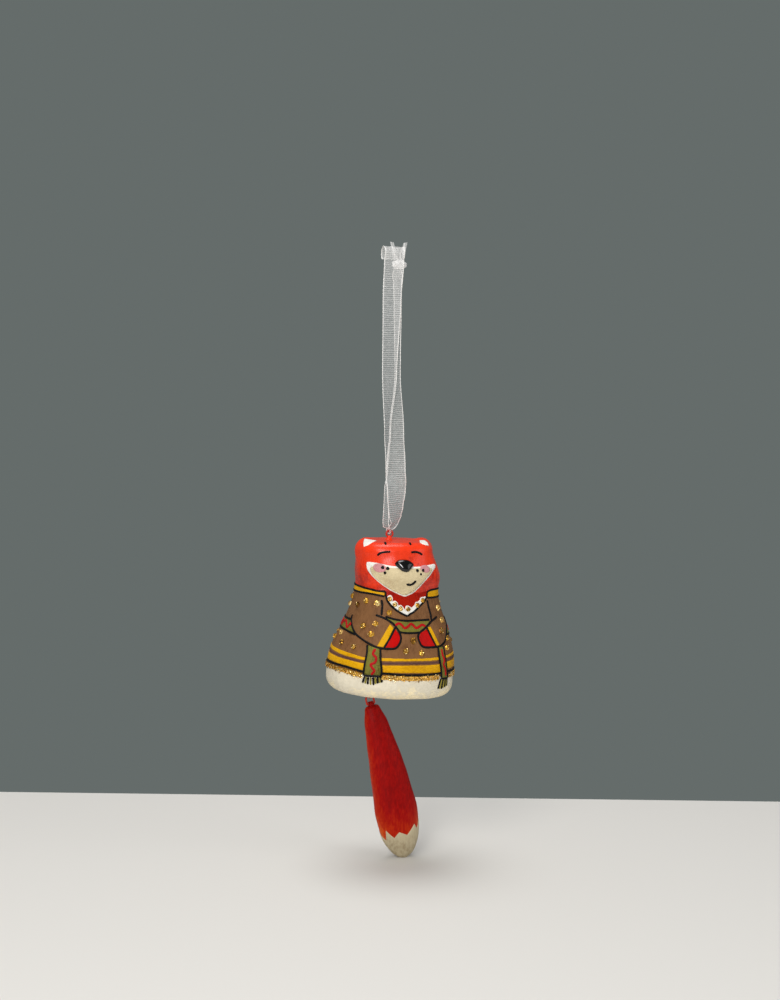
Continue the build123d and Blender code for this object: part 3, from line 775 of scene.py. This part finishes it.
# pulp cones round the two wires
cones = [
    {"name": "crown_cone", "paint": "head", "place": (-5.8, 0, 76.1), "foot": 2.6, "tip": 0.9, "tall": 2.6},
    {"name": "base_cone", "paint": "base", "place": (-6, 12.5, -0.6), "foot": 3, "tip": 0.55, "tall": -1.9},
]
coneRows, coneSides = 12, 24
for i, cone in enumerate(cones):
    verts = []
    for k in range(coneRows):
        s = k / (coneRows - 1)
        wide = mix(cone["foot"], cone["tip"], 1 - (1 - s) ** 1.8)
        for j in range(coneSides):
            c, d = cos(fullTurn * j / coneSides), sin(fullTurn * j / coneSides)
            r = wide * (1 + 0.06 * noise(Vector((c * 2, d * 2, s * 3 + i * 5))))
            verts.append(toRow(Vector(cone["place"]) + Vector((r * c, r * d, cone["tall"] * s))))
    faces = gridFaces(coneRows, coneSides, flip=cone["tall"] < 0)
    pulp = addMesh(cone["name"], verts, faces, [paint[cone["paint"]]])
    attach(pulp, "figure")

# wires and core keep their solids
wireMat = brushPaint("wire_red", (0.5, 0.03, 0.016), (0.22, 0.02, 0.014), (1, 1, 1), 900, 0.36, 0.3, 0.3)
coreMat = brushPaint("core_board", (0.36, 0.27, 0.17), (0.28, 0.2, 0.12), (1, 1, 1), 300, 0.8, 0.2)
for node in ("top_eye", "base_eye", "tail_link", "figure_core"):
    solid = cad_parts[node]
    solid.data.materials.clear()
    solid.data.materials.append(coreMat if node == "figure_core" else wireMat)
print("wires painted")

# tail, in millimetres down from where it sways
tail = {
    "sway": Vector((-6.04885, 12.5, -224.78724)), "lean": -13.6, "wide": 22.6, "deep": 15, "bow": 0.9,
    "bowShare": 0.9, "long": 85.5, "tongueTop": -2.15, "shoulder": -4.45, "bar": -3.65, "topRound": 1.6,
    "uneven": ((0.25, 0.13), (0.06, 0.6)), "around": 64,
    # start and length in shares of the whole, rows, easing
    "runs": ((0.027, 0.021, 7, 2), (0.048, 0.913, 62, 1), (0.961, 0.039, 9, 0.8)),
    # share of the length and of the width
    "stations": [(0, 0.3), (0.055, 0.37), (0.13, 0.53), (0.29, 0.69), (0.45, 0.845), (0.61, 0.94), (0.7, 1),
                 (0.8, 0.935), (0.86, 0.85), (0.91, 0.71), (0.96, 0.47), (0.985, 0.26), (1, 0.02)],
    # points of the pale tip: turn and share of the length
    "tip": [(10, 0.838), (40, 0.79), (52, 0.826), (74, 0.78), (92, 0.83), (110, 0.78), (130, 0.84),
            (150, 0.79), (172, 0.85), (196, 0.79), (220, 0.84), (242, 0.78), (262, 0.8), (298, 0.848),
            (308, 0.782), (330, 0.836), (348, 0.806), (370, 0.838)],
    "tipRows": 14, "tipLift": 0.16, "tipPoint": 0.0002,
}
tailTurn = Matrix.Rotation(radians(tail["lean"]), 3, "Y")


def tailRow(p):
    return (tailTurn @ p + tail["sway"]) / 1000


def tailPoint(angle, s, lift=0):
    stops = tail["stations"]
    i = max(k for k in range(len(stops) - 1) if stops[k][0] <= s + 1e-9)
    p0, p1, p2, p3 = stops[max(i - 1, 0)], stops[i], stops[i + 1], stops[min(i + 2, len(stops) - 1)]
    step = p2[0] - p1[0]
    t = (s - p1[0]) / step
    m1 = (p2[1] - p0[1]) / max(p2[0] - p0[0], 1e-6) * step
    m2 = (p3[1] - p1[1]) / max(p3[0] - p1[0], 1e-6) * step
    spread = (2 * t ** 3 - 3 * t * t + 1) * p1[1] + (t ** 3 - 2 * t * t + t) * m1
    spread += (3 * t * t - 2 * t ** 3) * p2[1] + (t ** 3 - t * t) * m2
    z = tail["shoulder"] - max(s * tail["long"] - (tail["tongueTop"] - tail["shoulder"]), 0)
    c, d = cosSin(angle)
    below = min(max(tail["shoulder"] - z, 0), tail["topRound"])
    drawn = tail["topRound"] - sqrt(tail["topRound"] ** 2 - (tail["topRound"] - below) ** 2)
    x, y = (spread * tail["wide"] / 2 - drawn) * d, -(spread * tail["deep"] / 2 - drawn) * c
    p = Vector((x + tail["bow"] * sin(pi * s / tail["bowShare"]), y, z))
    out = Vector((d / tail["wide"], -c / tail["deep"], 0)).normalized()
    push = sum(high * noise(p * scale) for high, scale in tail["uneven"])
    return tailRow(p + out * (lift + smooth(s / 0.1) * push))


tailRuns = []
for start, long, rows, ease in tail["runs"]:
    tailRuns += [start + long * (i / rows) ** ease for i in range(rows)]
tailRuns.append(1)
sides = tail["around"]
verts = [tailPoint(360 * k / sides, s) for s in tailRuns for k in range(sides)]
faces = gridFaces(len(tailRuns), sides, flip=True) + [tuple(range(sides))]
tailMat, tree, bsdf = startMaterial("tail_red")
where = addNode(tree, "TexCoord")
turn = addNode(tree, "Mapping", Vector=(where, "Object"), Scale=(1, 1, 0.3), Rotation=(0.1, 0.25, 0.2))
streak = addNode(tree, "TexNoise", Vector=(turn, 0), Scale=900, Detail=5, Roughness=0.68)
# painted highlight read from the mesh: it lifts the red towards the orange stops
warm = addNode(tree, "Attribute", attribute_name="warm")
total = mathNode(tree, "MULTIPLY_ADD", (streak, "Fac"), 0.8, (warm, "Fac"))
# the orange top stops are reached mostly where the painted highlight lifts the tone
reds = [(0.3, (0.2, 0.001, 0.001)), (0.5, (0.3, 0.002, 0.001)), (0.75, (0.42, 0.02, 0.002)),
        (1, (0.6, 0.09, 0.01))]
tone = ramp(tree, (total, 0), reds)
ridges = addNode(tree, "Bump", Height=(streak, "Fac"), Strength=0.35, Distance=0.00015)
feed(bsdf, {"Base Color": (tone, 0), "Roughness": 0.45, "Specular IOR Level": 0.08, "Normal": (ridges, 0)})
tailBody = addMesh("tail_body", verts, faces, [tailMat])
# painted highlight: lighter orange along the left edge, low on the right and towards the tip, where the light
# falls on the tail
paintedHighlightLevels = tailBody.data.attributes.new("warm", "FLOAT", "POINT")
for i, s in enumerate(tailRuns):
    for k in range(sides):
        left = max(cos(radians(360 * k / sides + 95)), 0) ** 3
        right = max(cos(radians(360 * k / sides - 85)), 0) ** 6 * smooth((s - 0.5) / 0.3)
        low = smooth((s - 0.62) / 0.2)
        paintedHighlightLevels.data[i * sides + k].value = 0.34 * left + 0.25 * right + 0.26 * low
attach(tailBody, "tail")

# pale tip with brushed points, closed at the end
tipLine = []
for a, b in zip(tail["tip"], tail["tip"][1:]):
    tipLine += [(mix(a[0], b[0], k / 6), mix(a[1], b[1], k / 6)) for k in range(6)]
tipLine.append(tail["tip"][-1])
rows = tail["tipRows"]
verts = []
for a, s in tipLine:
    verts.append(tailPoint(a, s, -0.1))
    for k in range(rows):
        verts.append(tailPoint(a, mix(s + 0.002, 0.9995, (k / (rows - 1)) ** 0.9), tail["tipLift"]))
n, wide = len(tipLine), rows + 1
faces = gridFaces(n, wide, False)
inner, outer = (sum((verts[i * wide + k] for i in range(n)), Vector()) / n for k in (rows - 2, rows))
verts.append(outer + (outer - inner).normalized() * tail["tipPoint"])
faces += [(i * wide + rows, n * wide, (i + 1) * wide + rows) for i in range(n - 1)]
tipMat = brushPaint("tail_tip", (0.44, 0.37, 0.24), (0.3, 0.23, 0.13), (1, 1, 0.3), 800, 0.5, 0.35)
tailTip = addMesh("tail_tip", verts, faces, [tipMat])
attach(tailTip, "tail")

# tongue that the link's bar passes through
tongue = {"half": 1.2, "cap": 1.5, "hole": 0.55, "steps": 28}
steps = tongue["steps"]
verts, faces = [], []
for x in (-tongue["half"], tongue["half"]):
    for radius, drop in ((tongue["hole"], 1), (tongue["cap"], 2)):
        for k in range(steps):
            y, z = radius * sin(fullTurn * k / steps), radius * cos(fullTurn * k / steps)
            verts.append(tailRow(Vector((x, y, tail["bar"] + (z if z > 0 else z * drop)))))
for k in range(steps):
    j = (k + 1) % steps
    faces.append((k, j, steps + j, steps + k))
    faces.append((2 * steps + k, 3 * steps + k, 3 * steps + j, 2 * steps + j))
    faces.append((steps + k, steps + j, 3 * steps + j, 3 * steps + k))
    faces.append((k, 2 * steps + k, 2 * steps + j, j))
tongueEar = addMesh("tail_tongue", verts, faces, [tailMat])
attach(tongueEar, "tail")
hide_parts("tail")
print("tail made")

# organza ribbon: wrap, front strand, gather in the eye, back strand
ribbon = {
    "width": 10, "wrap": 3.5, "open": 38, "wrapRows": 18, "foot": -136.25, "bend": 1.25, "eye": -139,
    "eyeRows": 8,
    # share of the way down, x, y, facing
    "front": [(0.15, -0.9, -2.4, 11), (0.42, -1.7, -2.3, 30), (0.64, -2.4, -2.4, 56),
              (0.78, -2.7, -2.9, 69), (0.86, -3, -3.2, 84)],
    "back": [(0.06, 3.9, 4.8, -82), (0.15, 4.1, 4.5, -86), (0.42, 4.3, 4, -91), (0.64, 4, 3.4, -61),
             (0.78, 3.8, 3.3, -36), (0.86, 4, 2.6, 8)],
    # share of the strand's last place, z, width, facing
    "frontGather": [(0.97, -134, 10, 90), (0.85, -136, 9.4, 92), (0.3, -137.1, 5.5, 75),
                    (0, -137.7, 3.2, 55)],
    "backGather": [(0.95, -126, 10, 26), (0.9, -131, 10, 38), (0.85, -134.2, 9.6, 51),
                   (0.5, -136.2, 7.4, 45), (0, -137.7, 3.2, 20)],
    "throat": (3.2, 3.18, -5.99, -30, 3.2),  # end at the knot: x, y, z, facing, width
    "tight": (1.3, 2), "rowStep": 0.9, "columns": 25, "thread": 0.00016, "threadSides": 6,
}
stations = []  # x, y, z, facing, width
for k in range(ribbon["wrapRows"] + 1):
    angle = radians(180 - ribbon["open"] - (360 - 2 * ribbon["open"]) * k / ribbon["wrapRows"])
    y, z = ribbon["wrap"] * sin(angle), ribbon["wrap"] * cos(angle)
    stations.append((0, y, z, 0, ribbon["width"]))
startZ = stations[-1][2]
for s, x, y, facing in ribbon["front"]:
    stations.append((x, y, mix(startZ, ribbon["foot"], s), facing, ribbon["width"]))
x, y = stations[-1][:2]
for share, z, wide, facing in ribbon["frontGather"]:
    stations.append((share * x, mix(-ribbon["bend"], y, share), z, facing, wide))
for k in range(1, ribbon["eyeRows"]):
    angle = pi * k / ribbon["eyeRows"]
    z = ribbon["eye"] + ribbon["bend"] * (1 - sin(angle))
    facing = mix(ribbon["frontGather"][-1][3], ribbon["backGather"][-1][3], k / ribbon["eyeRows"])
    wide = ribbon["tight"][k in (1, ribbon["eyeRows"] - 1)]
    stations.append((0, -ribbon["bend"] * cos(angle), z, facing, wide))
x, y = ribbon["back"][-1][1:3]
for share, z, wide, facing in reversed(ribbon["backGather"]):
    stations.append((share * x, mix(ribbon["bend"], y, share), z, facing, wide))
for s, x, y, facing in reversed(ribbon["back"]):
    stations.append((x, y, mix(ribbon["throat"][2], ribbon["foot"], s), facing, ribbon["width"]))
stations.append(ribbon["throat"])

ribbonRows = []
for a, b in zip(stations, stations[1:]):
    far = (Vector(a[:3]) - Vector(b[:3])).length
    count = max(int(far / ribbon["rowStep"]), 1)
    for k in range(count):
        t = k / count
        eased = smooth(t) if far >= 3 else t
        ribbonRows.append([mix(p, q, t if j == 2 else eased) for j, (p, q) in enumerate(zip(a, b))])
ribbonRows.append(stations[-1])
columns = ribbon["columns"]
verts, uvs = [], []
selvage = ([], [])
length = 0
for i, (x, y, z, facing, wide) in enumerate(ribbonRows):
    middle = Vector((x, y, z))
    before, after = (Vector(ribbonRows[min(max(i + k, 0), len(ribbonRows) - 1)][:3]) for k in (-1, 1))
    length += (middle - before).length
    side = Vector((*cosSin(facing), 0))
    out = side.cross((after - before).normalized())
    tight = max(1 - wide / ribbon["width"], 0)
    for k in range(columns):
        u = k / (columns - 1) - 0.5
        fold = tight * 0.55 * sin(u * fullTurn * 4.5)
        ripple = (1 - tight) * 0.22 * noise(Vector((u * 2.2, length * 0.05, 2)))
        ripple += 0.05 * noise(Vector((u * 6, length * 0.3, 9)))
        verts.append((middle + side * (u * wide) + out * (fold + ripple)) / 1000)
        uvs.append((u * ribbon["width"], length))
    selvage[0].append(verts[-columns])
    selvage[1].append(verts[-1])


def organza(name, low, high, lines=True):
    # sheer weave: cover between low and high along the weft; lines thickens it at the ribbon's edges
    mat, tree, bsdf = startMaterial(name)
    kind, output, size = ("UVMap", "UV", 1) if lines else ("TexCoord", "Object", 1000)
    weave = (addNode(tree, kind), output)
    crosswise = addNode(tree, "Mapping", Vector=weave, Scale=(0.5 * size, size, size))
    weft = addNode(tree, "TexWave", Vector=(crosswise, 0), Scale=0.31, Distortion=5, Detail=1)
    weft.bands_direction = "Y"
    feed(weft, {"Detail Scale": 0.5})
    fine = addNode(tree, "TexNoise", Vector=weave, Scale=0.5 * size, Detail=4)
    part = mathNode(tree, "MULTIPLY", (fine, "Fac"), 0.35)
    total = mathNode(tree, "MULTIPLY_ADD", (weft, "Fac"), 0.65, (part, 0))
    cover = ramp(tree, (total, 0), [(0.25, (low,) * 3), (0.8, (high,) * 3)])
    if lines:
        split = addNode(tree, "SeparateXYZ", Vector=weave)
        aside = mathNode(tree, "ABSOLUTE", (split, "X"))
        edge = addNode(tree, "MapRange", Value=(aside, 0))
        feed(edge, {"From Min": 4.3, "From Max": 4.7, "To Min": 0, "To Max": 0.3})
        cover = mathNode(tree, "ADD", (cover, "Color"), (edge, "Result"))
    tone = ramp(tree, (fine, "Fac"), [(0.3, (0.74, 0.73, 0.71)), (0.7, (0.9, 0.89, 0.87))])
    ridge = addNode(tree, "Bump", Height=(weft, "Fac"), Strength=0.4, Distance=0.0001)
    feed(bsdf, {"Base Color": (tone, 0), "Alpha": (cover, 0), "Normal": (ridge, 0)})
    feed(bsdf, {"Roughness": 0.45, "Sheen Weight": 0.3})
    return mat


ribbonFaces = gridFaces(len(ribbonRows), columns, False)
ribbonSheet = addMesh("ribbon_sheet", verts, ribbonFaces, [organza("organza", 0.18, 0.46)])
layer = ribbonSheet.data.uv_layers.new(name="weave")
for loop in ribbonSheet.data.loops:
    layer.data[loop.index].uv = uvs[loop.vertex_index]


def tubeAlong(points, radius, sides):
    # a looped edge thread: every other ring is drawn in
    verts = []
    for i, p in enumerate(points):
        ahead = (points[min(i + 1, len(points) - 1)] - points[max(i - 1, 0)]).normalized()
        side = ahead.cross(Vector((0.31, 0.83, 0.47))).normalized()
        up = ahead.cross(side)
        for k in range(sides):
            verts.append(p + wheel(side, up, fullTurn * k / sides) * radius * (1.3 if i % 2 else 0.75))
    return verts


thread = brushPaint("selvage_thread", (0.8, 0.78, 0.75), (0.6, 0.57, 0.54), (1, 1, 3), 2400, 0.6, 0.4)
verts, faces = [], []
for line in selvage:
    faces += gridFaces(len(line), ribbon["threadSides"], start=len(verts))
    verts += tubeAlong(line, ribbon["thread"], ribbon["threadSides"])
ribbonSelvage = addMesh("ribbon_selvage", verts, faces, [thread])
for piece in (ribbonSheet, ribbonSelvage):
    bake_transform(piece)
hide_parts("ribbon_loop", "ribbon_front_strand", "ribbon_back_strand", "ribbon_bight")
print("ribbon length", round(length, 1))

# knot with drawn pleats, and two cut ends
knot = {"place": (4.2, 3.18, -5.09), "size": (3.5, 2.2, 2.3), "rings": 24, "around": 36}
verts = []
for i in range(knot["rings"] + 1):
    lat = pi * i / knot["rings"]
    for k in range(knot["around"]):
        lon = fullTurn * k / knot["around"]
        d = Vector((sin(lat) * cos(lon), sin(lat) * sin(lon), cos(lat)))
        pleat = 1 + 0.1 * sin(8 * lon + 5 * d.z) * sin(lat) + 0.16 * noise(d * 2.3)
        verts.append((Vector(knot["place"]) + Vector(a * b * pleat for a, b in zip(d, knot["size"]))) / 1000)
faces = gridFaces(knot["rings"] + 1, knot["around"], flip=True)
knotPiece = addMesh("ribbon_knot_turns", verts, faces, [organza("organza_knot", 0.7, 0.95, False)])
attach(knotPiece, "ribbon")
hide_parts("ribbon_knot")
cut = {
    "sides": ((-1, 4.1), (1, 5.3)), "x": 4.2, "z": -3.1, "apart": 1.6, "lean": 13, "long": 9.4,
    "slant": 0.9, "wide": 3.2, "rows": 13, "columns": 9,
}
verts, faces = [], []
for side, y in cut["sides"]:
    foot = Vector((cut["x"] + cut["apart"] * side, y, cut["z"]))
    c, d = cosSin(cut["lean"] * side)
    faces += gridFaces(cut["rows"], cut["columns"], False, start=len(verts))
    for k in range(cut["rows"]):
        s = k / (cut["rows"] - 1)
        for j in range(cut["columns"]):
            u = j / (cut["columns"] - 1) - 0.5
            up = s * (cut["long"] + cut["slant"] * u * side)
            aside = u * cut["wide"] * mix(0.8, 0.6, s)
            curl = 0.25 * sin(u * 9 + s * 4)
            verts.append((foot + Vector((aside * c + up * d, curl, up * c - aside * d))) / 1000)
endsPiece = addMesh("ribbon_cut_ends", verts, faces, [organza("organza_ends", 0.35, 0.7, False)])
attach(endsPiece, "ribbon")
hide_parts("ribbon_ends")
print("knot made")

# pale floor, plain backdrop and soft light
stage = {"near": -4, "far": 0.135, "aside": 4, "below": 0.0002}
floorMat, _, bsdf = startMaterial("stage_floor")
feed(bsdf, {"Base Color": (0.7, 0.68, 0.64, 1), "Roughness": 0.7})
floorZ = Vector((0, 0, cadLow[2] - stage["below"]))
near, far, aside = level * stage["near"] + floorZ, level * stage["far"] + floorZ, across * stage["aside"]
floor = addMesh("floor", [near - aside, near + aside, far + aside, far - aside], [(0, 1, 2, 3)], [floorMat])
world = bpy.data.worlds.new("world")
world.use_nodes = True
tree = world.node_tree
soft = tree.nodes["Background"]
feed(soft, {"Color": (0.95, 0.97, 1, 1), "Strength": 0.3})
backdrop = addNode(tree, "Background", Color=(0.13, 0.15, 0.145, 1))
ray = addNode(tree, "LightPath")
shown = mathNode(tree, "MAXIMUM", (ray, "Is Camera Ray"), (ray, "Is Glossy Ray"))
seen = mathNode(tree, "MAXIMUM", (shown, 0), (ray, "Is Transmission Ray"))
either = addNode(tree, "MixShader")
feed(either, {0: (seen, 0), 1: (soft, 0), 2: (backdrop, 0)})
feed(tree.nodes["World Output"], {"Surface": (either, 0)})
scene.world = world
addLight("key", (-0.75, -0.95, 0.75), 0.5, 6.2, (1, 0.97, 0.93))
addLight("front", (-0.52, -1.05, 0.16), 0.3, 5.8)
addLight("fill", (0.9, -0.8, 0.2), 0.9, 3, (0.95, 0.97, 1))
addLight("top", (-0.1, 0.05, 1), 0.7, 8)
scene.view_settings.view_transform = "Standard"
print("stage set")
